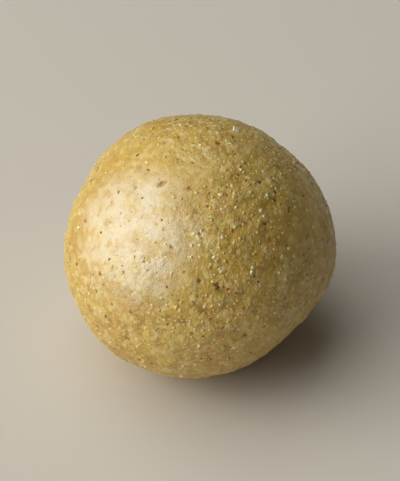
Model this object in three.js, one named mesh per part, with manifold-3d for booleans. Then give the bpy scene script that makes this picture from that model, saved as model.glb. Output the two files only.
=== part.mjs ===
// A millet ladoo: one ball of roasted millet flour, ghee and sugar, rolled between the palms.
// Millimetres, +Z up. The origin is the middle of the small flat spot that the ball rests on.

import * as THREE from 'three';
import { mergeVertices } from 'three/addons/utils/BufferGeometryUtils.js';
import Module from 'manifold-3d';

// Driving dimensions
const BALL_DIAMETER = 40; // before the palms press it
const REST_SPOT_DIAMETER = 12;
const BALL_DETAIL = 15; // each edge of the icosahedron is split into one more than this
const SEED = 20;

// Broad swells and the soft flats that the palms pressed, which are swells of height below zero:
// where each one faces and how far it spreads, in degrees, and its height
const BROAD_SWELLS = [
  { azimuth: -142, elevation: -32, spread: 38, height: 1.1 },
  { azimuth: -38, elevation: -31, spread: 24, height: -0.95 },
  { azimuth: -6, elevation: -5, spread: 20, height: 0.6 },
  { azimuth: 43, elevation: 34, spread: 24, height: -0.8 },
  { azimuth: 88, elevation: 45, spread: 20, height: -0.7 },
  { azimuth: 161, elevation: 18, spread: 18, height: -0.5 },
  { azimuth: 176, elevation: -4, spread: 18, height: 0.3 },
  { azimuth: 112, elevation: -14, spread: 26, height: -0.9 },
  { azimuth: 62, elevation: -22, spread: 24, height: 0.5 },
  { azimuth: -95, elevation: 12, spread: 26, height: -0.35 },
];

// Small swells all over, as an even spread of heights up and down
const SMALL_SWELL_COUNT = 60;
const SMALL_SWELL_HEIGHT = 0.16;
const SMALL_SWELL_SPREAD = 13;

// Coarse grains stand proud of the surface and small pits are left where others fell out
const MARK_COUNT = 150;
const MARKS_PER_PIT = 6; // one mark in this many is a pit
const MARK_NUDGE = 1.4;
const GRAIN_LENGTH = { least: 0.75, most: 1.3 };
const GRAIN_WIDTH_SHARE = { least: 0.65, most: 0.95 }; // of its length
const GRAIN_HEIGHT_SHARE = 0.7; // of its length
const GRAIN_PROUD_SHARE = 0.25; // of its height
const PIT_LENGTH = { least: 0.8, most: 1.5 };
const PIT_WIDTH_SHARE = { least: 0.5, most: 0.9 };
const PIT_DEPTH = { least: 0.16, most: 0.32 };
const PIT_CUTTER_HEIGHT = 1.2;
const MARK_TILT = 14; // degrees that a grain or a pit may lean
const REST_SPOT_MARGIN = 5; // clear of grains and pits round the rest spot
const PLACED_MARK_MARGIN = 2.4; // clear of other marks round a placed one

// The marks that show one by one on the front, an open curl, a dimple and a crumb: where each one faces
// and how it is turned, in degrees, and its size
const PLACED_PITS = [
  { azimuth: -133, elevation: 66, length: 2.1, width: 1.1, depth: 0.42, spin: 25 },
  { azimuth: -82, elevation: 27, length: 1.5, width: 1.1, depth: 0.3, spin: -20 },
];
const PLACED_GRAINS = [{ azimuth: 55, elevation: 62, length: 1.3, width: 0.9, height: 0.8, spin: 40 }];

// Sizes that follow
const BALL_RADIUS = BALL_DIAMETER / 2;
const REST_SPOT_RADIUS = REST_SPOT_DIAMETER / 2;
const MIDDLE_HEIGHT = Math.sqrt(BALL_RADIUS ** 2 - REST_SPOT_RADIUS ** 2);
const GOLDEN_ANGLE = Math.PI * (3 - Math.sqrt(5));
const UP = new THREE.Vector3(0, 0, 1);
const DOWN = new THREE.Vector3(0, 0, -1);
const RIGHT = new THREE.Vector3(1, 0, 0);
const MIDDLE = new THREE.Vector3(0, 0, MIDDLE_HEIGHT);

const wasm = await Module();
wasm.setup();

// A repeatable run of random numbers from 0 to 1
function seededDraws(seed) {
  const MULTIPLIER = 16807;
  const MODULUS = 2147483647;
  let state = seed;
  return () => {
    state = (state * MULTIPLIER) % MODULUS;
    return state / MODULUS;
  };
}

function between(range, share) {
  return range.least + (range.most - range.least) * share;
}

// Unit direction out of the ball's middle, with azimuth 0 along +X
function facing(azimuth, elevation) {
  const around = THREE.MathUtils.degToRad(azimuth);
  const up = THREE.MathUtils.degToRad(elevation);
  return new THREE.Vector3(Math.cos(up) * Math.cos(around), Math.cos(up) * Math.sin(around), Math.sin(up));
}

// Directions spread evenly over the ball on a golden spiral, each nudged by up to nudge millimetres
function spreadDirections(count, nudge, draw) {
  const directions = [];
  for (let i = 0; i < count; i += 1) {
    const height = 1 - (2 * i + 1) / count;
    const level = Math.sqrt(1 - height * height);
    const direction = new THREE.Vector3(
      level * Math.cos(i * GOLDEN_ANGLE),
      level * Math.sin(i * GOLDEN_ANGLE),
      height
    );
    const push = new THREE.Vector3(draw() - 0.5, draw() - 0.5, draw() - 0.5);
    direction.addScaledVector(push, (2 * nudge) / BALL_RADIUS).normalize();
    directions.push(direction);
  }
  return directions;
}

const draw = seededDraws(SEED);

const swells = BROAD_SWELLS.map((swell) => ({
  direction: facing(swell.azimuth, swell.elevation),
  height: swell.height,
  spread: THREE.MathUtils.degToRad(swell.spread),
}));
spreadDirections(SMALL_SWELL_COUNT, MARK_NUDGE, draw).forEach((direction) => {
  swells.push({
    direction,
    height: SMALL_SWELL_HEIGHT * (2 * draw() - 1),
    spread: THREE.MathUtils.degToRad(SMALL_SWELL_SPREAD),
  });
});

// Distance from the ball's middle to its surface along a unit direction, without grains and pits
function surfaceDistance(direction) {
  let distance = BALL_RADIUS;
  for (const swell of swells) {
    const away = direction.angleTo(swell.direction) / swell.spread;
    distance += swell.height * Math.exp(-away * away);
  }
  return distance;
}

// A closed solid from a geometry, with the corners that its triangles share merged
function solidFrom(geometry) {
  geometry.deleteAttribute('normal');
  geometry.deleteAttribute('uv');
  const merged = mergeVertices(geometry);
  return new wasm.Manifold(
    new wasm.Mesh({
      numProp: 3,
      vertProperties: merged.attributes.position.array,
      triVerts: Uint32Array.from(merged.index.array),
    })
  );
}

function geometryFrom(solid) {
  const mesh = solid.getMesh();
  const geometry = new THREE.BufferGeometry();
  geometry.setAttribute('position', new THREE.BufferAttribute(mesh.vertProperties, mesh.numProp));
  geometry.setIndex(new THREE.BufferAttribute(mesh.triVerts, 1));
  geometry.computeVertexNormals();
  return geometry;
}

// The pressed ball: a geodesic sphere with each corner moved out or in to the surface
function pressedBall() {
  const geometry = new THREE.IcosahedronGeometry(1, BALL_DETAIL);
  const corners = geometry.attributes.position;
  const direction = new THREE.Vector3();
  for (let i = 0; i < corners.count; i += 1) {
    direction.fromBufferAttribute(corners, i).normalize();
    direction.multiplyScalar(surfaceDistance(direction)).add(MIDDLE);
    corners.setXYZ(i, direction.x, direction.y, direction.z);
  }
  return solidFrom(geometry);
}

// What is cut away below the rest spot
function groundBlock() {
  const block = new THREE.BoxGeometry(BALL_DIAMETER, BALL_DIAMETER, BALL_RADIUS);
  block.translate(0, 0, -BALL_RADIUS / 2);
  return solidFrom(block);
}

// A pebble of a given length, width and height lying along the surface, its middle lifted off it by lift
function pebble(direction, size, lift, spin, tilt) {
  const geometry = new THREE.IcosahedronGeometry(1, 0);
  geometry.computeBoundingBox();
  const scale = size.clone().divide(geometry.boundingBox.getSize(new THREE.Vector3()));
  const turn = new THREE.Quaternion().setFromUnitVectors(UP, direction);
  turn.multiply(new THREE.Quaternion().setFromAxisAngle(UP, THREE.MathUtils.degToRad(spin)));
  turn.multiply(new THREE.Quaternion().setFromAxisAngle(RIGHT, THREE.MathUtils.degToRad(tilt)));
  const place = MIDDLE.clone().addScaledVector(direction, surfaceDistance(direction) + lift);
  geometry.applyMatrix4(new THREE.Matrix4().compose(place, turn, scale));
  return solidFrom(geometry);
}

function grain(direction, length, width, height, spin, tilt) {
  const lift = height * (GRAIN_PROUD_SHARE - 0.5);
  return pebble(direction, new THREE.Vector3(length, width, height), lift, spin, tilt);
}

// A cutter that goes in to the pit's depth, so wide that the pit is about its full size at the surface
function pitCutter(direction, length, width, depth, spin, tilt) {
  const lift = PIT_CUTTER_HEIGHT / 2 - depth;
  const spread = 1 / Math.sqrt(1 - ((2 * lift) / PIT_CUTTER_HEIGHT) ** 2);
  const size = new THREE.Vector3(length * spread, width * spread, PIT_CUTTER_HEIGHT);
  return pebble(direction, size, lift, spin, tilt);
}

const placedMarks = [...PLACED_PITS, ...PLACED_GRAINS];
const restSpotReach = (REST_SPOT_RADIUS + REST_SPOT_MARGIN) / BALL_RADIUS;
const placedReach = PLACED_MARK_MARGIN / BALL_RADIUS;

function isClear(direction) {
  if (direction.angleTo(DOWN) < restSpotReach) return false;
  return placedMarks.every((mark) => direction.angleTo(facing(mark.azimuth, mark.elevation)) > placedReach);
}

function ladooGeometry() {
  let ladoo = pressedBall();
  spreadDirections(MARK_COUNT, MARK_NUDGE, draw).forEach((direction, i) => {
    const size = draw();
    const share = draw();
    const spin = 360 * draw();
    const tilt = MARK_TILT * (2 * draw() - 1);
    if (!isClear(direction)) return;
    if (i % MARKS_PER_PIT === 0) {
      const length = between(PIT_LENGTH, size);
      const width = length * between(PIT_WIDTH_SHARE, share);
      ladoo = ladoo.subtract(pitCutter(direction, length, width, between(PIT_DEPTH, size), spin, tilt));
    } else {
      const length = between(GRAIN_LENGTH, size * size);
      const width = length * between(GRAIN_WIDTH_SHARE, share);
      ladoo = ladoo.add(grain(direction, length, width, length * GRAIN_HEIGHT_SHARE, spin, tilt));
    }
  });
  for (const pit of PLACED_PITS) {
    const direction = facing(pit.azimuth, pit.elevation);
    ladoo = ladoo.subtract(pitCutter(direction, pit.length, pit.width, pit.depth, pit.spin, 0));
  }
  for (const crumb of PLACED_GRAINS) {
    const direction = facing(crumb.azimuth, crumb.elevation);
    ladoo = ladoo.add(grain(direction, crumb.length, crumb.width, crumb.height, crumb.spin, 0));
  }
  return geometryFrom(ladoo.subtract(groundBlock()));
}

const flour = new THREE.MeshStandardMaterial({ color: 0xcdac64, roughness: 0.6, metalness: 0 });
const ladooMesh = new THREE.Mesh(ladooGeometry(), flour);
ladooMesh.name = 'ladoo';

const group = new THREE.Group();
group.add(ladooMesh);

export default group;
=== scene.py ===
"""Looks of a hand-rolled millet ladoo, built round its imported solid.

Laid out as an add-on and run as a script. Lengths are in metres, in the solid's own frame.
"""

import math
from typing import Callable, NamedTuple

import bmesh
import bpy
import numpy as np
from bpy.props import FloatProperty, FloatVectorProperty, IntProperty, PointerProperty
from mathutils import Color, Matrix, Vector, noise
from mathutils.bvhtree import BVHTree
from mathutils.kdtree import KDTree


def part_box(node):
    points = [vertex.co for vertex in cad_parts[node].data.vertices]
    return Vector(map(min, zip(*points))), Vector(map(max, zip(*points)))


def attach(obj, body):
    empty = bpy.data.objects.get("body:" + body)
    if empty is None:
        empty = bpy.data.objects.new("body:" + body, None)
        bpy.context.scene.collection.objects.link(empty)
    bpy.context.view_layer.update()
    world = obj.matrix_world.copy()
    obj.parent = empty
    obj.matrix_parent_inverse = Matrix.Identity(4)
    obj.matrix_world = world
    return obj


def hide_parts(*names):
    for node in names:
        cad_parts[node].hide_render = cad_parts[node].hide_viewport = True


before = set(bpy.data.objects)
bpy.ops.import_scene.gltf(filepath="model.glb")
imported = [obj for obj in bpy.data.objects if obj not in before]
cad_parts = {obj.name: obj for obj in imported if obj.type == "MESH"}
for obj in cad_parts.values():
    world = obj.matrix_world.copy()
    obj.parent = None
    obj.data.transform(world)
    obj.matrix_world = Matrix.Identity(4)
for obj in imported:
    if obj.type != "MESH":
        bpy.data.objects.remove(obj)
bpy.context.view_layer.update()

bl_info = {
    "name": "Millet Ladoo",
    "version": (1, 0, 0),
    "blender": (4, 5, 0),
    "location": "3D View > Sidebar > Ladoo",
    "description": "Builds a hand-rolled millet ladoo round its packed solid",
    "category": "Mesh",
}

NODE = "ladoo"
BODY = "root"
MASS_NAME = "ladoo_mass"
PICTURE_SHAPE = 400 / 481  # width over height
MM = 0.001

solid_low, solid_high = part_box(NODE)
MIDDLE = (solid_low + solid_high) / 2
RADIUS = (solid_high.x - solid_low.x) / 2
UNIT_BALL_AREA = 4 * math.pi
GOLDEN_ANGLE = math.pi * (3 - math.sqrt(5))

# Seeds of the random draws
MASS_SEED = 11
GRAIN_SEED = 21
SUGAR_SEED = 31
FLECK_SEED = 41

# Noise: one field serves all uses, moved by this shift times the number of the use
NOISE_SHIFT = Vector((17.3, 5.1, 9.7))
LUMP_NOISE = 1
DENT_NOISE = 2
WANDER_NOISES = (4, 5, 6)
SHEEN_PAINT_NOISE = 9
PATCH_NOISE = 13

# Palms: the way from one to the other at the last roll, rubbed smooth at both ends
PALM_AXIS = np.array(Vector((-0.6, -0.26, 0.76)).normalized())
PALM_EDGE = (0.72, 0.95)  # where the rubbing begins and is full, as cosines of the angle from that way
PALM_RUB = 0.85  # share of the coarseness that it takes away
PATCH_SIZE = 7 * MM  # width of the smooth and coarse patches between the palms
PATCH_EDGE = (-0.6, 0.15)  # noise up to which a patch is smooth, and from which it is coarse

# Painted sheen: a pale film painted over the colour, fullest along the way on which the key light's
# highlight falls in the camera's view, and as full at the other end of that way
SHEEN_PAINT_AXIS = np.array(Vector((-0.53, -0.58, 0.62)).normalized())
SHEEN_PAINT_EDGE = (0.8, 0.98)  # where the painted sheen begins and is full, as cosines of the angle from that way
SHEEN_PAINT_PATCH = 5 * MM  # width of the bays in its ragged edge
SHEEN_PAINT_RAGGED = 0.05  # how far they move the edge, as a cosine

# Share of the relief and of the loose bits that is left where the surface is smooth
SMOOTH_DENTS = 0.4
SMOOTH_PORES = 0.4
SMOOTH_DOMES = 0.35
SMOOTH_BITS = 0.15

LOWEST_BIT = -0.9  # lowest that a loose bit may lie, in radii above the middle
FRONT_CLEAR = 5 * MM  # how far others of the kind keep from a bit that is placed on the front
FRONT_DROP = 0.04  # how far the ball's disc in the camera's view has its middle below the box's, in radii

# Flecks that show one by one on the front: how far across and up the ball's disc, as shares of its
# radius in the view from the camera, and the fleck's length in millimetres
FRONT_BRAN = (
    (0.34, 0.49, 0.62),
    (0.017, -0.667, 0.55),
    (-0.737, 0.10, 0.5),
    (0.552, 0.346, 0.8),
    (0.60, 0.31, 0.5),
    (0.653, 0.26, 0.8),
    (0.05, 0.298, 0.55),
    (-0.246, -0.304, 0.45),
    (0.13, -0.305, 1.0),
)
FRONT_HUSK = (
    (0.237, 0.115, 0.85),
    (-0.73, -0.20, 0.8),
    (-0.668, -0.097, 0.6),
    (0.534, -0.09, 0.75),
    (0.20, -0.32, 0.75),
    (0.26, -0.35, 0.6),
    (0.27, 0.33, 0.5),
    (-0.64, -0.42, 0.5),
    (-0.856, 0.185, 0.6),
    (-0.168, 0.823, 0.5),
    (-0.124, -0.193, 0.55),
    (-0.16, -0.405, 0.6),
    (-0.51, -0.48, 0.7),
    (-0.39, 0.571, 0.65),
    (-0.612, 0.40, 0.6),
    (-0.433, 0.356, 0.5),
    (-0.285, 0.192, 0.5),
    (0.203, 0.564, 0.5),
    (0.547, 0.485, 0.5),
    (-0.562, -0.192, 0.5),
    (-0.78, -0.55, 0.5),
    (0.085, -0.49, 0.45),
)
# Crystals and one crumb that glint one by one on the front, given in the same way
FRONT_SUGAR = (
    (0.27, 0.88, 1.4),
    (0.495, 0.377, 0.6),
    (0.472, 0.218, 0.7),
    (0.167, 0.064, 0.75),
    (-0.064, -0.085, 0.6),
    (0.10, -0.085, 0.7),
    (-0.064, 0.004, 0.6),
    (0.152, -0.19, 0.6),
    (-0.332, -0.62, 0.6),
    (-0.064, -0.674, 0.55),
    (0.65, -0.018, 0.5),
    (-0.712, 0.556, 0.6),
    (0.003, 0.75, 0.55),
    (0.376, -0.19, 0.6),
    (-0.012, 0.548, 0.5),
)


# Settings

SCREEN_LIFT = 0.055  # of the curve between screen values and linear light
SCREEN_POWER = 2.4


def paint(red, green, blue):
    """Linear colour of a swatch given in screen values from 0 to 255."""
    shares = (red / 255, green / 255, blue / 255)
    return tuple(((share + SCREEN_LIFT) / (1 + SCREEN_LIFT)) ** SCREEN_POWER for share in shares)


def length_property(title, meaning, millimetres):
    """A length that a user may change, given in millimetres and kept in metres."""
    return FloatProperty(
        name=title, description=meaning, default=millimetres * MM, unit="LENGTH", precision=6
    )


def colour_property(title, meaning, swatch):
    """A colour that a user may change, given in screen values."""
    return FloatVectorProperty(
        name=title, description=meaning, default=paint(*swatch), subtype="COLOR", min=0, max=1
    )


def count_property(title, meaning, count):
    return IntProperty(name=title, description=meaning, default=count, min=0)


def power_property(title, meaning, watts):
    return FloatProperty(name=title, description=meaning, default=watts, unit="POWER", min=0)


class LadooMassSettings(bpy.types.PropertyGroup):
    """Sizes of the ball and the relief on it."""

    splits: count_property("Splits", "Parts that each side of the starting icosahedron is split into", 98)
    form_blur: length_property("Form blur", "Reach over which the solid's facets are smoothed away", 1.3)
    mark_blur: length_property("Mark blur", "Reach over which its grains and pits are rounded", 0.2)
    mark_least: length_property("Least mark", "Height up to which its marks are smoothed away", 0.018)
    lump_size: length_property("Lump size", "Width of the soft lumps left by rolling", 6.0)
    lump_height: length_property("Lump height", "Height of those lumps", 0.09)
    dent_size: length_property("Dent size", "Width of the small unevenness of the paste", 2.2)
    dent_height: length_property("Dent height", "Height of that unevenness", 0.2)
    cell_size: length_property("Pressed grain", "Spacing of the grains pressed into the paste", 1.0)
    cell_height: length_property("Pressed grain height", "Most that such a grain swells the surface", 0.14)
    pore_size: length_property("Pore size", "Width of the largest open pores", 0.7)
    pore_depth: length_property("Pore depth", "Depth of the largest open pores", 0.2)
    pore_count: count_property("Pores", "Open pores all over", 520)
    # Depth at which a hollow takes the full painted shade
    hollow_depth: length_property("Hollow depth", "Depth at which a hollow takes its full colour", 0.1)
    rest_fade: length_property("Rest fade", "Height above the rest spot where the relief has faded in", 1.6)


class LadooGrainSettings(bpy.types.PropertyGroup):
    """How many loose bits show on the surface, and how large they are."""

    millet_count: count_property("Millet grains", "Places for grains standing in the surface", 6500)
    millet_least: length_property("Least millet grain", "Length of the smallest grain", 0.5)
    millet_most: length_property("Most millet grain", "Length of the largest grain", 1.05)
    grit_count: count_property("Fine grit", "Places for flour grit all over", 23000)
    grit_least: length_property("Least grit", "Length of the smallest grit", 0.14)
    grit_most: length_property("Most grit", "Length of the largest grit", 0.3)
    sugar_count: count_property("Sugar crystals", "Crystals that glint", 90)
    sugar_least: length_property("Least crystal", "Length of the smallest crystal", 0.28)
    sugar_most: length_property("Most crystal", "Length of the largest crystal", 0.6)
    bran_count: count_property("Bran flecks", "Dark flecks all over", 44)
    bran_least: length_property("Least bran fleck", "Length of the smallest dark fleck", 0.28)
    bran_most: length_property("Most bran fleck", "Length of the largest dark fleck", 0.62)
    husk_count: count_property("Husk flecks", "Rust flecks all over", 52)
    husk_least: length_property("Least husk fleck", "Length of the smallest rust fleck", 0.35)
    husk_most: length_property("Most husk fleck", "Length of the largest rust fleck", 0.85)


class LadooColourSettings(bpy.types.PropertyGroup):
    """Colours of the flour, of what is mixed into it, of the painted sheen and the painted shade, and of
    the floor.
    """

    flour: colour_property("Flour", "Roasted flour bound with ghee", (207, 170, 62))
    toast: colour_property("Toasted flour", "Patches that browned more", (192, 149, 52))
    pale: colour_property("Pale flour", "Dry floury patches", (230, 208, 138))
    # Painted sheen: the pale colour painted over the paste where the key light's highlight falls
    dust: colour_property("Dust", "Film of dry flour", (227, 209, 168))
    # Painted shade: the darker colour painted into the pores and between the grains
    hollow_shade: colour_property("Shade", "Paste in the pores and between grains", (136, 90, 26))
    freckle: colour_property("Freckle", "Faint reddish freckles in the paste", (187, 124, 58))
    grain: colour_property("Grain", "Hard millet grains", (226, 201, 126))
    sugar: colour_property("Sugar", "Sugar crystals", (244, 230, 186))
    bran: colour_property("Bran", "Dark bran flecks", (80, 55, 28))
    husk: colour_property("Husk", "Rust coloured husk flecks", (176, 118, 58))
    floor: colour_property("Floor", "Plain pale floor", (212, 205, 191))


class LadooStageSettings(bpy.types.PropertyGroup):
    """Camera, light and floor."""

    camera_height: FloatProperty(
        name="Camera height", description="Angle above the floor", default=math.radians(45), subtype="ANGLE"
    )
    camera_lens: FloatProperty(
        name="Lens", description="Focal length in millimetres", default=250.0, unit="CAMERA"
    )
    fill: FloatProperty(
        name="Fill", description="Share of the picture's width that the ball takes", default=0.68,
        subtype="FACTOR",
    )
    key_power: power_property("Key power", "Softbox at the left", 6.4)
    key_size: length_property("Key size", "Side of that softbox", 800)
    key_distance: length_property("Key distance", "From that softbox to the ball", 800)
    overhead_power: power_property("Overhead power", "Wide softbox overhead, a little to the left", 10.5)
    back_power: power_property("Back power", "Wide softbox behind", 1.0)
    wide_size: length_property("Wide size", "Side of the two wide softboxes", 1500)
    wide_distance: length_property("Wide distance", "From those softboxes to the ball", 1200)
    sky_strength: FloatProperty(name="Sky strength", description="Even light from all round", default=0.02)
    floor_radius: length_property("Floor radius", "Reach of the floor", 4000)


# Shapes

MERGE_DIGITS = 6  # decimals to which the corners of two faces have to agree to become one
NUDGE = 0.5  # most that a place is moved each way, as a share of the spacing


def icosahedron():
    """Corners at distance 1, and the faces between them."""
    shape = bmesh.new()
    bmesh.ops.create_icosphere(shape, subdivisions=1, radius=1)
    shape.verts.index_update()
    corners = np.array([vertex.co for vertex in shape.verts])
    faces = np.array([[vertex.index for vertex in face.verts] for face in shape.faces])
    shape.free()
    return corners, faces


def octahedron():
    """Corners at distance 1, and the faces between them."""
    corners = np.array([(1, 0, 0), (-1, 0, 0), (0, 1, 0), (0, -1, 0), (0, 0, 1), (0, 0, -1)], float)
    upper = [(0, 2, 4), (2, 1, 4), (1, 3, 4), (3, 0, 4)]
    lower = [(2, 0, 5), (1, 2, 5), (3, 1, 5), (0, 3, 5)]
    return corners, np.array(upper + lower)


def cube():
    """A cube whose edges pass at distance 1 from its middle."""
    ends = (-math.sqrt(0.5), math.sqrt(0.5))
    corners = np.array([(x, y, z) for x in ends for y in ends for z in ends])
    faces = [(0, 1, 3, 2), (4, 6, 7, 5), (0, 4, 5, 1), (2, 3, 7, 6), (0, 2, 6, 4), (1, 5, 7, 3)]
    return corners, np.array(faces)


def flake():
    """A thin scale: a many-sided rim, a flat top with a rounded edge, and a point below."""
    sides = 9
    shoulder_width = 0.7
    shoulder_height = 0.75
    turns = np.arange(sides) * 2 * math.pi / sides
    ring = np.stack([np.cos(turns), np.sin(turns), np.zeros(sides)], axis=1)
    shoulder = ring * shoulder_width + (0, 0, shoulder_height)
    corners = np.concatenate([ring, shoulder, [(0, 0, 1), (0, 0, -1)]])
    here = np.arange(sides)
    after = np.roll(here, -1)
    top = np.full(sides, 2 * sides)
    faces = [
        np.stack([here, after, sides + after], axis=1),
        np.stack([here, sides + after, sides + here], axis=1),
        np.stack([sides + here, sides + after, top], axis=1),
        np.stack([after, here, top + 1], axis=1),
    ]
    return corners, np.concatenate(faces)


def geodesic_ball(splits):
    """Unit directions and triangles of an icosahedron with each side split into that many parts."""
    corners, faces = icosahedron()
    steps = [(i, j) for i in range(splits + 1) for j in range(splits + 1 - i)]
    number = {step: k for k, step in enumerate(steps)}
    shares = np.array([(i, j, splits - i - j) for i, j in steps]) / splits
    patch = []
    for i, j in steps:
        if i + j < splits:
            patch.append((number[i + 1, j], number[i, j + 1], number[i, j]))
        if i + j < splits - 1:
            patch.append((number[i + 1, j], number[i + 1, j + 1], number[i, j + 1]))
    points = np.einsum("kc,fcx->fkx", shares, corners[faces]).reshape(-1, 3)
    offsets = np.arange(len(faces))[:, None, None] * len(steps)
    triangles = (np.array(patch)[None] + offsets).reshape(-1, 3)
    rounded = np.round(points, MERGE_DIGITS)
    _, first, merged = np.unique(rounded, axis=0, return_index=True, return_inverse=True)
    points = points[first]
    return points / np.linalg.norm(points, axis=1)[:, None], merged.ravel()[triangles]


def edges_of(triangles):
    """Each edge once, as a pair of corner numbers."""
    sides = np.concatenate([triangles[:, [0, 1]], triangles[:, [1, 2]], triangles[:, [2, 0]]])
    return np.unique(np.sort(sides, axis=1), axis=0)


def blurred(values, edges, reach, step):
    """Values on a mesh whose corners lie that step apart, blurred over a reach."""
    a, b = edges.T
    degree = np.bincount(edges.ravel(), minlength=len(values))
    # Each pass adds half a squared step to the square of the reach
    passes = max(1, round(2 * (reach / step) ** 2))
    for _ in range(passes):
        total = np.bincount(a, values[b], len(values)) + np.bincount(b, values[a], len(values))
        values = (values + total / degree) / 2
    return values


def smooth_step(low, high, values):
    """Shares that go from 0 at the low value to 1 at the high one with soft ends."""
    share = np.clip((values - low) / (high - low), 0, 1)
    return share * share * (3 - 2 * share)


def noise_field(points, wave, number):
    """Soft noise from -1 to 1 with that wave length."""
    shift = NOISE_SHIFT * number
    return np.array([noise.noise(Vector(point) / wave + shift) for point in points])


def spread_directions(count, random):
    """Directions spread evenly all round on a golden spiral, each nudged within its own place."""
    turn = np.arange(count) * GOLDEN_ANGLE
    height = 1 - (2 * np.arange(count) + 1) / count
    level = np.sqrt(1 - height * height)
    directions = np.stack([level * np.cos(turn), level * np.sin(turn), height], axis=1)
    spacing = math.sqrt(UNIT_BALL_AREA / count)
    directions += random.uniform(-NUDGE, NUDGE, directions.shape) * spacing
    return directions / np.linalg.norm(directions, axis=1)[:, None]


def above_rest(directions):
    """Whether each direction stays clear of the rest spot."""
    return directions[:, 2] > LOWEST_BIT


def coarseness(directions):
    """How coarse the surface was left, from 0 to 1: smooth under the palms and in some patches."""
    rubbed = smooth_step(*PALM_EDGE, np.abs(directions @ PALM_AXIS))
    patches = smooth_step(*PATCH_EDGE, noise_field(directions * RADIUS, PATCH_SIZE, PATCH_NOISE))
    return patches * (1 - PALM_RUB * rubbed)


def left_over(share, coarse):
    """How much the rolling left of something: that share where smooth, and all of it where coarse."""
    return share + (1 - share) * coarse


def painted_sheen_share(directions):
    """How much painted sheen a place takes, from 0 to 1: most where the key light's highlight falls in the
    camera's view, and as much at the other end of that way.
    """
    bays = SHEEN_PAINT_RAGGED * noise_field(directions * RADIUS, SHEEN_PAINT_PATCH, SHEEN_PAINT_NOISE)
    return smooth_step(*SHEEN_PAINT_EDGE, np.abs(directions @ SHEEN_PAINT_AXIS) + bays)


def front_direction(across, up, camera_height):
    """Direction out of the ball's middle for a place on its disc as the camera sees it."""
    near = math.sqrt(1 - across * across - up * up)
    rise = math.sin(camera_height)
    run = math.cos(camera_height)
    return (across, up * rise - near * run, up * run + near * rise)


def point_tree(points):
    """Finds the points nearest to a place."""
    tree = KDTree(len(points))
    for i, point in enumerate(points):
        tree.insert(point, i)
    tree.balance()
    return tree


def surface_tree(piece):
    """Finds where a line meets a piece."""
    mesh = piece.data
    corners = [vertex.co for vertex in mesh.vertices]
    return BVHTree.FromPolygons(corners, [face.vertices[:] for face in mesh.polygons])


def surface_places(tree, directions):
    """Points and outward normals where directions from the ball's middle meet a surface."""
    points = []
    normals = []
    for direction in directions:
        point, normal, _, _ = tree.ray_cast(MIDDLE, Vector(direction))
        if point is None:
            raise RuntimeError("the surface has a gap")
        points.append(point)
        normals.append(normal if normal.dot(Vector(direction)) > 0 else -normal)
    return np.array(points), np.array(normals)


def make_piece(name, corners, faces, material, fields, smooth=True):
    """A mesh piece that rides with the ladoo, with a value for each corner in each named field."""
    mesh = bpy.data.meshes.new(name)
    mesh.from_pydata(corners, [], faces)
    mesh.polygons.foreach_set("use_smooth", np.full(len(mesh.polygons), smooth))
    for field, values in fields.items():
        layer = mesh.attributes.new(field, "FLOAT", "POINT")
        layer.data.foreach_set("value", np.asarray(values, np.float32))
    mesh.update()
    mesh.materials.append(material)
    piece = bpy.data.objects.new(name, mesh)
    bpy.context.scene.collection.objects.link(piece)
    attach(piece, BODY)
    return piece


def lying_axes(normals, random, lean):
    """Axes for each normal: two along the surface, turned at random, and one out of it that leans."""
    out = normals + random.normal(0, lean, normals.shape)
    out /= np.linalg.norm(out, axis=1)[:, None]
    along = np.cross(out, random.normal(0, 1, normals.shape))
    along /= np.linalg.norm(along, axis=1)[:, None]
    return np.stack([along, np.cross(out, along), out], axis=1)


def joined_bits(shape, faces, points, axes, sizes, uneven, random):
    """One mesh with a copy of a shape at each point, each copy sized and made uneven on its own."""
    count = len(points)
    own = shape[None] * (1 + random.uniform(-uneven, uneven, (count, len(shape), 1)))
    corners = np.einsum("kcx,kx,kxy->kcy", own, sizes / 2, axes) + points[:, None]
    joined = faces[None] + np.arange(count)[:, None, None] * len(shape)
    return corners.reshape(-1, 3), joined.reshape(-1, faces.shape[1])


# Finishes

COLOUR = "NodeSocketColor"
VALUE = "NodeSocketFloat"
PLAIN_FLOUR = (0.6, 0.4, 0.13, 1.0)  # what a group's colour inputs hold until they are set
SOAK_REACH = (1.0, 0.55, 0.22)  # how far red, green and blue light soak in, next to one another
FLOOR_ROUGHNESS = 0.75


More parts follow.
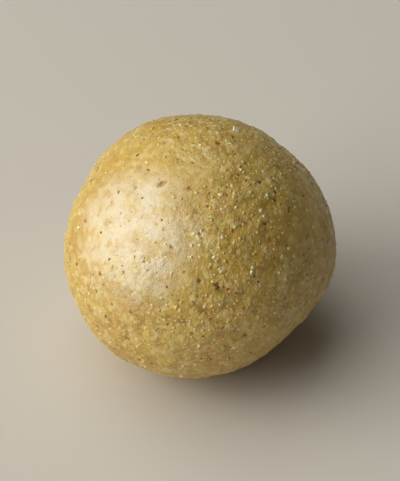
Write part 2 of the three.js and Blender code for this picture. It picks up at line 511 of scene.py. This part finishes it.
class Wiring:
    """Adds nodes to a tree and links them, for short material code."""

    # Numbers of the Mix node's sockets for colours, whose names other sockets have too
    MIX_COLOURS = (6, 7)
    MIX_RESULT = 2

    def __init__(self, tree):
        self.tree = tree
        tree.nodes.clear()

    def add(self, kind, settings=None, **inputs):
        """A new node, with an underscore in an input's name read as a space."""
        node = self.tree.nodes.new(kind)
        for name, value in (settings or {}).items():
            setattr(node, name, value)
        for name, value in inputs.items():
            self.feed(node.inputs[name.replace("_", " ")], value)
        return node

    def feed(self, socket, value):
        """Links another socket to this one, or sets it to a value or a colour."""
        if isinstance(value, bpy.types.NodeSocket):
            self.tree.links.new(value, socket)
        elif isinstance(value, Color):
            socket.default_value = (*value, 1.0)
        else:
            socket.default_value = value

    def place(self):
        """Where a point of the surface is, in the solid's frame."""
        return self.add("ShaderNodeTexCoord").outputs["Object"]

    def field(self, name):
        """A value that the mesh holds for each corner."""
        return self.add("ShaderNodeAttribute", {"attribute_name": name}).outputs["Fac"]

    def math(self, operation, first, second):
        node = self.add("ShaderNodeMath", {"operation": operation})
        self.feed(node.inputs[0], first)
        self.feed(node.inputs[1], second)
        return node.outputs[0]

    def range(self, value, low, high, to_low, to_high):
        """A value brought from one range to another with soft ends."""
        ends = {"From_Min": low, "From_Max": high, "To_Min": to_low, "To_Max": to_high}
        node = self.add("ShaderNodeMapRange", {"interpolation_type": "SMOOTHSTEP"}, Value=value, **ends)
        return node.outputs["Result"]

    def rise(self, value, low, high, most=1.0):
        """A share that grows from nothing at the low value to the most at the high one."""
        return self.range(value, low, high, to_low=0.0, to_high=most)

    def fall(self, value, low, high, most=1.0):
        """A share that shrinks from the most at the low value to nothing at the high one."""
        return self.range(value, low, high, to_low=most, to_high=0.0)

    def mix(self, share, first, second):
        """The first colour with that share of the second."""
        node = self.add("ShaderNodeMix", {"data_type": "RGBA"}, Factor=share)
        for number, colour in zip(self.MIX_COLOURS, (first, second)):
            self.feed(node.inputs[number], colour)
        return node.outputs[self.MIX_RESULT]

    def noise(self, place, wave, detail=2.0, roughness=0.5):
        look = {"Scale": 1 / wave, "Detail": detail, "Roughness": roughness}
        return self.add("ShaderNodeTexNoise", Vector=place, **look).outputs["Fac"]

    def spots(self, place, spacing, core, reach, rarity, strength):
        """Soft round spots about scattered points, of which the share above rarity have one."""
        cells = self.add("ShaderNodeTexVoronoi", Scale=1 / spacing, Vector=place)
        tint = self.add("ShaderNodeSeparateColor", Color=cells.outputs["Color"])
        round_spot = self.fall(cells.outputs["Distance"], core, reach, most=strength)
        return self.math("MULTIPLY", round_spot, self.rise(tint.outputs["Red"], rarity, 1.0))


def new_group(name, inputs, result):
    """A node group with inputs given by title, kind and value, and a result by title and kind."""
    tree = bpy.data.node_groups.new(name, "ShaderNodeTree")
    wiring = Wiring(tree)
    for title, kind, value in inputs:
        tree.interface.new_socket(title, in_out="INPUT", socket_type=kind).default_value = value
    title, kind = result
    tree.interface.new_socket(title, in_out="OUTPUT", socket_type=kind)
    given = wiring.add("NodeGroupInput").outputs
    made = wiring.add("NodeGroupOutput").inputs[title]
    return tree, wiring, given, made


def flour_mottle(name):
    """Flour colour with browned and floury patches, freckles, and a fine change of tone."""
    sockets = [(title, COLOUR, PLAIN_FLOUR) for title in ("Flour", "Toast", "Pale", "Freckle")]
    tree, wiring, given, made = new_group(name, sockets, ("Colour", COLOUR))
    place = wiring.place()
    broad = wiring.noise(place, wave=9 * MM, detail=3.0, roughness=0.55)
    colour = wiring.mix(wiring.rise(broad, 0.42, 0.72, most=0.9), given["Flour"], given["Toast"])
    dusty = wiring.noise(place, wave=3 * MM, detail=4.0, roughness=0.65)
    colour = wiring.mix(wiring.rise(dusty, 0.5, 0.75, most=0.5), colour, given["Pale"])
    stains = wiring.spots(place, spacing=3.4 * MM, core=0.05, reach=0.42, rarity=0.4, strength=0.8)
    colour = wiring.mix(stains, colour, given["Toast"])
    freckles = wiring.spots(place, spacing=1.7 * MM, core=0.1, reach=0.36, rarity=0.25, strength=1.0)
    colour = wiring.mix(freckles, colour, given["Freckle"])
    blotch = wiring.noise(place, wave=1.5 * MM, roughness=0.55)
    colour = wiring.mix(wiring.rise(blotch, 0.52, 0.72, most=0.3), colour, given["Pale"])
    colour = wiring.mix(wiring.fall(blotch, 0.3, 0.5, most=0.65), colour, given["Toast"])
    fine = wiring.noise(place, wave=0.5 * MM, roughness=0.65)
    colour = wiring.mix(wiring.rise(fine, 0.5, 0.75, most=0.35), colour, given["Pale"])
    colour = wiring.mix(wiring.fall(fine, 0.25, 0.5, most=0.35), colour, given["Toast"])
    wiring.feed(made, colour)
    return tree


def painted_sheen_film(name):
    """Colour under a patchy pale film, painted as a sheen where the key light's highlight falls."""
    sockets = [("Colour", COLOUR, PLAIN_FLOUR), ("Dust", COLOUR, PLAIN_FLOUR), ("Share", VALUE, 0.0)]
    tree, wiring, given, made = new_group(name, sockets, ("Colour", COLOUR))
    patches = wiring.noise(wiring.place(), wave=2.2 * MM, detail=4.0, roughness=0.6)
    cover = wiring.range(patches, 0.36, 0.6, to_low=0.25, to_high=0.92)
    share = wiring.math("MULTIPLY", given["Share"], cover)
    wiring.feed(made, wiring.mix(share, given["Colour"], given["Dust"]))
    return tree


def fine_grain_relief(name):
    """Height of the flour's finest grain, too small for the mesh."""
    tree, wiring, given, made = new_group(name, [("Grain", VALUE, 0.3 * MM)], ("Height", VALUE))
    place = wiring.place()
    scale = wiring.math("DIVIDE", 1.0, given["Grain"])
    bead = wiring.add("ShaderNodeTexVoronoi", Scale=scale, Vector=place).outputs["Distance"]
    dust = wiring.add("ShaderNodeTexNoise", Scale=scale, Detail=3.0, Vector=place).outputs["Fac"]
    wiring.feed(made, wiring.math("SUBTRACT", dust, bead))
    return tree


def ghee_film(name):
    """Roughness of a surface that is greasy in some places and floury in others."""
    sockets = [("Greasy", VALUE, 0.4), ("Floury", VALUE, 0.65)]
    tree, wiring, given, made = new_group(name, sockets, ("Roughness", VALUE))
    film = wiring.noise(wiring.place(), wave=2.4 * MM, detail=3.0, roughness=0.6)
    wiring.feed(made, wiring.range(film, 0.3, 0.7, given["Greasy"], given["Floury"]))
    return tree


def use_group(wiring, name, build, **inputs):
    """The result of the node group of that name, which is built when it is first used."""
    tree = bpy.data.node_groups.get(name) or build(name)
    return wiring.add("ShaderNodeGroup", {"node_tree": tree}, **inputs).outputs[0]


def start_material(name):
    """A material with only a Principled shader wired to its output."""
    material = bpy.data.materials.new(name)
    material.use_nodes = True
    wiring = Wiring(material.node_tree)
    shader = wiring.add("ShaderNodeBsdfPrincipled")
    wiring.add("ShaderNodeOutputMaterial", Surface=shader.outputs["BSDF"])
    return material, wiring, shader


def set_film(wiring, shader, greasy, floury, gloss):
    """Gloss of the ghee, sharper where the surface is greasy."""
    roughness = use_group(wiring, "Ghee Film", ghee_film, Greasy=greasy, Floury=floury)
    wiring.feed(shader.inputs["Roughness"], roughness)
    shader.inputs["Specular IOR Level"].default_value = gloss


def set_coat(shader, weight, roughness):
    """A thin even skin of ghee over the paste."""
    shader.inputs["Coat Weight"].default_value = weight
    shader.inputs["Coat Roughness"].default_value = roughness


def set_grain(wiring, shader, grain, height, strength):
    """The finest grain, as a bump."""
    relief = use_group(wiring, "Fine Grain Relief", fine_grain_relief, Grain=grain)
    bump = wiring.add("ShaderNodeBump", Distance=height, Strength=strength, Height=relief)
    wiring.feed(shader.inputs["Normal"], bump.outputs["Normal"])


def set_softness(shader, weight, scale):
    """Light that soaks a little way in before it comes out, the red of it furthest."""
    shader.inputs["Subsurface Weight"].default_value = weight
    shader.inputs["Subsurface Radius"].default_value = SOAK_REACH
    shader.inputs["Subsurface Scale"].default_value = scale


def mottled(wiring, colours, flour):
    """A flour's colour with the mottle of the paste."""
    return use_group(
        wiring, "Flour Mottle", flour_mottle,
        Flour=flour, Toast=colours.toast, Pale=colours.pale, Freckle=colours.freckle,
    )


def with_painted_sheen(wiring, colours, colour, share):
    """A colour with that share of the painted sheen on it."""
    return use_group(wiring, "Dry Dust", painted_sheen_film, Colour=colour, Dust=colours.dust, Share=share)


def paste_material(colours):
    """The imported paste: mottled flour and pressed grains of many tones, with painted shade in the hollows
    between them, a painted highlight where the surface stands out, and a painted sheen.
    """
    material, wiring, shader = start_material("Millet Paste")
    colour = mottled(wiring, colours, colours.flour)
    tone = wiring.field("tone")
    colour = wiring.mix(wiring.rise(tone, 0.6, 1.0, most=0.55), colour, colours.pale)
    colour = wiring.mix(wiring.fall(tone, 0.0, 0.35, most=0.6), colour, colours.toast)
    hollow = wiring.field("hollow")
    # Share of the painted sheen at each place, thinner in deep hollows
    dust = wiring.field("dust")
    sheen_in_hollows = wiring.range(hollow, 0.1, 1.2, to_low=1.0, to_high=0.35)
    colour = with_painted_sheen(wiring, colours, colour, wiring.math("MULTIPLY", dust, sheen_in_hollows))
    # Painted highlight: places that stand out are made paler
    colour = wiring.mix(wiring.fall(hollow, -1.0, -0.1, most=0.55), colour, colours.pale)
    # Painted shade: hollows are darkened towards the shade colour, less where the painted sheen lies
    shade_left_under_sheen = wiring.range(dust, 0.0, 1.0, to_low=1.0, to_high=0.4)
    hollow_shade_share = wiring.math("MULTIPLY", wiring.rise(hollow, 0.05, 1.1, most=0.95), shade_left_under_sheen)
    wiring.feed(shader.inputs["Base Color"], wiring.mix(hollow_shade_share, colour, colours.hollow_shade))
    set_film(wiring, shader, greasy=0.48, floury=0.64, gloss=0.8)
    set_coat(shader, weight=0.45, roughness=0.46)
    set_grain(wiring, shader, grain=0.3 * MM, height=0.07 * MM, strength=0.7)
    set_softness(shader, weight=0.12, scale=0.5 * MM)
    return material


def grain_material(name, colours):
    """Hard grains of the same flour, each of its own tone."""
    material, wiring, shader = start_material(name)
    colour = mottled(wiring, colours, colours.grain)
    tone = wiring.field("tone")
    colour = wiring.mix(wiring.fall(tone, 0.0, 0.4, most=0.7), colour, colours.flour)
    colour = wiring.mix(wiring.rise(tone, 0.76, 0.96, most=0.8), colour, colours.sugar)
    # The grains take the same painted sheen as the paste
    wiring.feed(shader.inputs["Base Color"], with_painted_sheen(wiring, colours, colour, wiring.field("dust")))
    set_film(wiring, shader, greasy=0.38, floury=0.6, gloss=0.5)
    set_softness(shader, weight=0.2, scale=0.4 * MM)
    return material


def sugar_material(colours):
    """Clear-edged crystals, pale and glossy."""
    material, wiring, shader = start_material("Sugar Crystal")
    pale = wiring.range(wiring.field("tone"), 0.0, 1.0, to_low=0.45, to_high=1.0)
    wiring.feed(shader.inputs["Base Color"], wiring.mix(pale, colours.grain, colours.sugar))
    set_film(wiring, shader, greasy=0.15, floury=0.32, gloss=0.6)
    set_softness(shader, weight=0.3, scale=0.6 * MM)
    return material


def fleck_material(name, colour, other):
    """Bran or husk: each fleck of a tone between two colours, with fine dull relief."""
    material, wiring, shader = start_material(name)
    wiring.feed(shader.inputs["Base Color"], wiring.mix(wiring.field("tone"), colour, other))
    set_film(wiring, shader, greasy=0.45, floury=0.7, gloss=0.3)
    set_grain(wiring, shader, grain=0.15 * MM, height=0.04 * MM, strength=0.6)
    return material


def floor_material(colour):
    material, wiring, shader = start_material("Pale Floor")
    wiring.feed(shader.inputs["Base Color"], colour)
    shader.inputs["Roughness"].default_value = FLOOR_ROUGHNESS
    return material


# The ball of paste

LEAST_DOME = 0.25  # height of the lowest pressed grain, as a share of the highest
SEAM_WANDER = 0.3  # how far the seams between those grains wander, as a share of the grains' spacing
DOME_POWER = 3  # a higher power makes flatter grains with narrower seams
LEAST_PORE = 0.4  # the smallest pore before the power, as a share of the largest
PORE_POWER = 1.5  # a higher power makes large pores rarer
REST_FLAT = 0.1 * MM  # height above the floor up to which there is no relief
HOLLOW_REACH = 3  # steps of the mesh over which the surface is evened out to tell its hollows
HOLLOW_LIMITS = (-1, 2)  # for places that stand out most and lie deepest
TONE_REACH = 0.8  # steps of the mesh over which the grains' tones run together


def pressed_grains(settings, places, random):
    """Height of the domes of grains pressed into the paste, none at their seams, and each one's tone."""
    count = round(UNIT_BALL_AREA * (RADIUS / settings.cell_size) ** 2)
    tree = point_tree(spread_directions(count, random) * RADIUS)
    heights = random.uniform(LEAST_DOME, 1.0, count) * settings.cell_height
    tones = random.uniform(0, 1, count)
    wander = np.stack([noise_field(places, settings.cell_size, k) for k in WANDER_NOISES], axis=1)
    height = np.zeros(len(places))
    tone = np.zeros(len(places))
    for k, place in enumerate(places + wander * settings.cell_size * SEAM_WANDER):
        (_, nearest, near), (_, _, next_near) = tree.find_n(place, 2)
        height[k] = heights[nearest] * (1 - (2 * near / (near + next_near)) ** DOME_POWER)
        tone[k] = tones[nearest]
    return height, tone


def open_pores(settings, places, random):
    """Depth of the small pores left where the paste didn't close."""
    tree = point_tree(places)
    depth = np.zeros(len(places))
    for direction in spread_directions(settings.pore_count, random):
        share = random.uniform(LEAST_PORE, 1.0) ** PORE_POWER
        reach = settings.pore_size / 2 * share
        for _, i, distance in tree.find_range(direction * RADIUS, reach):
            depth[i] = max(depth[i], settings.pore_depth * share * (1 - (distance / reach) ** 2))
    return depth


def mass_surface(settings, directions, edges):
    """Distance out to the paste, how deep each place lies in a hollow, and the tone of its grain.

    The distance is the solid's form without its facets, then its marks, then relief too fine for it.
    """
    step = RADIUS * math.sqrt(UNIT_BALL_AREA / len(directions))
    random = np.random.default_rng(MASS_SEED)
    points, _ = surface_places(surface_tree(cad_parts[NODE]), directions)
    exact = np.linalg.norm(points - np.array(MIDDLE), axis=1)
    form = blurred(exact, edges, settings.form_blur, step)
    marks = blurred(exact, edges, settings.mark_blur, step) - form
    marks = np.sign(marks) * np.maximum(np.abs(marks) - settings.mark_least, 0)
    places = directions * RADIUS
    coarse = coarseness(directions)
    lumps = noise_field(places, settings.lump_size, LUMP_NOISE) * settings.lump_height
    dents = noise_field(places, settings.dent_size, DENT_NOISE) * settings.dent_height
    dents *= left_over(SMOOTH_DENTS, coarse)
    domes, tone = pressed_grains(settings, places, random)
    domes *= left_over(SMOOTH_DOMES, coarse)
    pores = open_pores(settings, places, random) * left_over(SMOOTH_PORES, coarse)
    fade = smooth_step(REST_FLAT, settings.rest_fade, points[:, 2])
    radius = form + (marks + lumps + dents + domes - pores) * fade
    depth = blurred(radius, edges, HOLLOW_REACH * step, step) - radius
    hollow = np.clip(depth / settings.hollow_depth, *HOLLOW_LIMITS)
    return radius, hollow, blurred(tone, edges, TONE_REACH * step, step)


class LADOO_OT_make_mass(bpy.types.Operator):
    """Makes the rolled ball of paste in place of the solid"""

    bl_idname = "ladoo.make_mass"
    bl_label = "Make Mass"

    def execute(self, context):
        settings = context.scene.ladoo_mass
        directions, triangles = geodesic_ball(settings.splits)
        radius, hollow, tone = mass_surface(settings, directions, edges_of(triangles))
        corners = directions * radius[:, None] + np.array(MIDDLE)
        corners[:, 2] = np.maximum(corners[:, 2], 0)
        material = paste_material(context.scene.ladoo_colours)
        # hollow: how deep a place lies, which sets its painted shade; dust: its share of the painted sheen
        fields = {"hollow": hollow, "tone": tone, "dust": painted_sheen_share(directions)}
        mass = make_piece(MASS_NAME, corners, triangles, material, fields)
        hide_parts(NODE)
        return {"FINISHED"}


# Grains, sugar and flecks


class Bit(NamedTuple):
    """A kind of loose bit, and how such bits lie in the surface."""

    shape: Callable  # gives its corners and faces
    narrowest: float  # width of the narrowest, as a share of the length
    height: float  # height of each, as a share of the length
    proud: tuple  # least and most share of the height that stands out
    lean: float  # how far the upright axis may lean, as a slope
    uneven: float  # share by which each corner may move out or in
    smooth: bool = True  # whether it is shaded without edges
    placed_width: float = 1.0  # width of one placed on the front, as a share of the length


MILLET = Bit(icosahedron, narrowest=0.6, height=0.4, proud=(0.06, 0.22), lean=0.15, uneven=0.16)
GRIT = Bit(octahedron, narrowest=0.7, height=0.6, proud=(0.15, 0.32), lean=0.3, uneven=0.16)
SUGAR = Bit(
    cube, narrowest=0.75, height=0.7, proud=(0.3, 0.5), lean=0.5, uneven=0.14,
    smooth=False, placed_width=0.8,
)
FLECK = Bit(
    flake, narrowest=0.5, height=0.2, proud=(0.5, 0.62), lean=0.06, uneven=0.3, placed_width=0.7
)
LENGTH_POWER = 1.6  # a higher power makes long bits rarer


def bit_sizes(bit, count, lengths, random):
    """Length, width and height of each bit, small ones commoner than large ones."""
    least, most = lengths
    length = least + (most - least) * random.uniform(0, 1, count) ** LENGTH_POWER
    width = length * random.uniform(bit.narrowest, 1, count)
    return np.stack([length, width, length * bit.height], axis=1)


def scatter(name, bit, directions, sizes, material, random):
    """A joined piece of bits lying in the paste's surface."""
    shape, faces = bit.shape()
    points, normals = surface_places(surface_tree(bpy.data.objects[MASS_NAME]), directions)
    rise = sizes[:, 2] * (random.uniform(*bit.proud, len(points)) - 0.5)
    axes = lying_axes(normals, random, bit.lean)
    points += normals * rise[:, None]
    corners, faces = joined_bits(shape, faces, points, axes, sizes, bit.uneven, random)
    corners[:, 2] = np.maximum(corners[:, 2], 0)
    # tone: each bit's own tone; dust: its share of the painted sheen, which only the grains use
    fields = {"tone": random.uniform(0, 1, len(points)), "dust": painted_sheen_share(directions)}
    fields = {field: np.repeat(values, len(shape)) for field, values in fields.items()}
    return make_piece(name, corners, faces, material, fields, bit.smooth)


def crowd(name, bit, count, lengths, material, random):
    """A piece of bits that lie closer together where the surface was left coarse."""
    directions = spread_directions(count, random)
    directions = directions[above_rest(directions)]
    chance = left_over(SMOOTH_BITS, coarseness(directions))
    directions = directions[chance > random.uniform(0, 1, len(directions))]
    sizes = bit_sizes(bit, len(directions), lengths, random)
    return scatter(name, bit, directions, sizes, material, random)


def place_and_spread(name, bit, front, count, lengths, material, random):
    """A piece of bits placed on the front, and of others spread all over that keep clear of those."""
    sizes = bit_sizes(bit, count, lengths, random)
    view = bpy.context.scene.ladoo_stage.camera_height
    placed = np.array([front_direction(across, up - FRONT_DROP, view) for across, up, _ in front])
    shares = (1, bit.placed_width, bit.height)
    placed_sizes = np.array([[share * length for share in shares] for _, _, length in front]) * MM
    spread = spread_directions(count, random)
    clear = (spread @ placed.T).max(axis=1) < math.cos(FRONT_CLEAR / RADIUS)
    clear &= above_rest(spread)
    directions = np.concatenate([placed, spread[clear]])
    sizes = np.concatenate([placed_sizes, sizes[clear]])
    return scatter(name, bit, directions, sizes, material, random)


class LADOO_OT_make_grains(bpy.types.Operator):
    """Sets millet grains and finer grit into the surface"""

    bl_idname = "ladoo.make_grains"
    bl_label = "Make Grains"

    def execute(self, context):
        settings = context.scene.ladoo_grains
        colours = context.scene.ladoo_colours
        random = np.random.default_rng(GRAIN_SEED)
        material = grain_material("Millet Grain", colours)
        lengths = (settings.millet_least, settings.millet_most)
        grains = crowd("millet_grains", MILLET, settings.millet_count, lengths, material, random)
        material = grain_material("Flour Grit", colours)
        lengths = (settings.grit_least, settings.grit_most)
        grit = crowd("fine_grit", GRIT, settings.grit_count, lengths, material, random)
        return {"FINISHED"}


class LADOO_OT_make_sugar(bpy.types.Operator):
    """Sets sugar crystals into the surface"""

    bl_idname = "ladoo.make_sugar"
    bl_label = "Make Sugar"

    def execute(self, context):
        settings = context.scene.ladoo_grains
        random = np.random.default_rng(SUGAR_SEED)
        material = sugar_material(context.scene.ladoo_colours)
        lengths = (settings.sugar_least, settings.sugar_most)
        count = settings.sugar_count
        place_and_spread("sugar_crystals", SUGAR, FRONT_SUGAR, count, lengths, material, random)
        return {"FINISHED"}


class LADOO_OT_make_flecks(bpy.types.Operator):
    """Sets dark bran and rust coloured husk flecks flush in the surface"""

    bl_idname = "ladoo.make_flecks"
    bl_label = "Make Flecks"

    def execute(self, context):
        settings = context.scene.ladoo_grains
        colours = context.scene.ladoo_colours
        random = np.random.default_rng(FLECK_SEED)
        material = fleck_material("Bran Fleck", colours.bran, colours.husk)
        lengths = (settings.bran_least, settings.bran_most)
        place_and_spread("bran_flecks", FLECK, FRONT_BRAN, settings.bran_count, lengths, material, random)
        material = fleck_material("Husk Fleck", colours.husk, colours.freckle)
        lengths = (settings.husk_least, settings.husk_most)
        place_and_spread("husk_flecks", FLECK, FRONT_HUSK, settings.husk_count, lengths, material, random)
        return {"FINISHED"}


# Stage

# The ways out from the ball to the softboxes
KEY_SIDE = Vector((-0.87, -0.31, 0.39))
OVERHEAD_SIDE = Vector((-0.44, 0.12, 0.88))
BACK_SIDE = Vector((0.35, 0.9, 0.3))

SKY_COLOUR = (1.0, 0.98, 0.95, 1.0)
FLOOR_SEGMENTS = 64
CLIP_NEAR = 0.01  # nearest that the camera sees, as a share of its distance
CLIP_FAR = 10  # furthest that it sees, in radii of the floor


def face_ball(thing, place):
    """Stands a lamp or the camera at a place and turns it to the ball's middle."""
    thing.location = place
    thing.rotation_euler = (MIDDLE - place).to_track_quat("-Z", "Y").to_euler()


class LADOO_OT_make_stage(bpy.types.Operator):
    """Sets up the floor, the soft lights and the camera"""

    bl_idname = "ladoo.make_stage"
    bl_label = "Make Stage"

    def execute(self, context):
        settings = context.scene.ladoo_stage
        self.make_floor(context, settings)
        self.make_light(context, settings)
        self.make_camera(context, settings)
        return {"FINISHED"}

    def make_floor(self, context, settings):
        shape = bmesh.new()
        bmesh.ops.create_circle(shape, cap_ends=True, segments=FLOOR_SEGMENTS, radius=settings.floor_radius)
        mesh = bpy.data.meshes.new("floor")
        shape.to_mesh(mesh)
        shape.free()
        mesh.materials.append(floor_material(context.scene.ladoo_colours.floor))
        floor = bpy.data.objects.new("floor", mesh)
        context.scene.collection.objects.link(floor)

    def make_softbox(self, context, name, side, power, size, distance):
        lamp = bpy.data.lights.new(name, "AREA")
        lamp.shape = "SQUARE"
        lamp.size = size
        lamp.energy = power
        softbox = bpy.data.objects.new(name, lamp)
        context.scene.collection.objects.link(softbox)
        face_ball(softbox, MIDDLE + side.normalized() * distance)

    def make_light(self, context, settings):
        near = (settings.key_size, settings.key_distance)
        self.make_softbox(context, "key", KEY_SIDE, settings.key_power, *near)
        wide = (settings.wide_size, settings.wide_distance)
        self.make_softbox(context, "overhead", OVERHEAD_SIDE, settings.overhead_power, *wide)
        self.make_softbox(context, "back", BACK_SIDE, settings.back_power, *wide)
        sky = bpy.data.worlds.new("sky")
        sky.use_nodes = True
        background = sky.node_tree.nodes["Background"]
        background.inputs["Color"].default_value = SKY_COLOUR
        background.inputs["Strength"].default_value = settings.sky_strength
        context.scene.world = sky
        context.scene.view_settings.view_transform = "Standard"

    def make_camera(self, context, settings):
        lens = bpy.data.cameras.new("camera")
        lens.lens = settings.camera_lens
        camera = bpy.data.objects.new("camera", lens)
        context.scene.collection.objects.link(camera)
        # The sensor's width takes in the picture's longer side, which is its height
        half_width = lens.sensor_width / 2 * PICTURE_SHAPE / lens.lens
        distance = RADIUS / (settings.fill * half_width)
        back = Vector((0, -math.cos(settings.camera_height), math.sin(settings.camera_height)))
        face_ball(camera, MIDDLE + back * distance)
        lens.clip_start = CLIP_NEAR * distance
        lens.clip_end = CLIP_FAR * settings.floor_radius
        context.scene.camera = camera


# Panel and start


class LADOO_PT_build(bpy.types.Panel):
    """Lists the steps that build the ladoo, and their settings"""

    bl_label = "Millet Ladoo"
    bl_space_type = "VIEW_3D"
    bl_region_type = "UI"
    bl_category = "Ladoo"

    def draw(self, context):
        for step in STEPS:
            self.layout.operator(step.bl_idname)
        for name, group in SETTINGS.items():
            box = self.layout.box()
            for setting in group.__annotations__:
                box.prop(getattr(context.scene, name), setting)


STEPS = (
    LADOO_OT_make_mass,
    LADOO_OT_make_grains,
    LADOO_OT_make_sugar,
    LADOO_OT_make_flecks,
    LADOO_OT_make_stage,
)
SETTINGS = {
    "ladoo_mass": LadooMassSettings,
    "ladoo_grains": LadooGrainSettings,
    "ladoo_colours": LadooColourSettings,
    "ladoo_stage": LadooStageSettings,
}


def register():
    for name, group in SETTINGS.items():
        bpy.utils.register_class(group)
        setattr(bpy.types.Scene, name, PointerProperty(type=group))
    for step in STEPS:
        bpy.utils.register_class(step)
    bpy.utils.register_class(LADOO_PT_build)


def unregister():
    bpy.utils.unregister_class(LADOO_PT_build)
    for step in reversed(STEPS):
        bpy.utils.unregister_class(step)
    for name, group in SETTINGS.items():
        delattr(bpy.types.Scene, name)
        bpy.utils.unregister_class(group)


def main():
    register()
    bpy.ops.ladoo.make_mass()
    bpy.ops.ladoo.make_grains()
    bpy.ops.ladoo.make_sugar()
    bpy.ops.ladoo.make_flecks()
    bpy.ops.ladoo.make_stage()


if __name__ == "__main__":
    main()
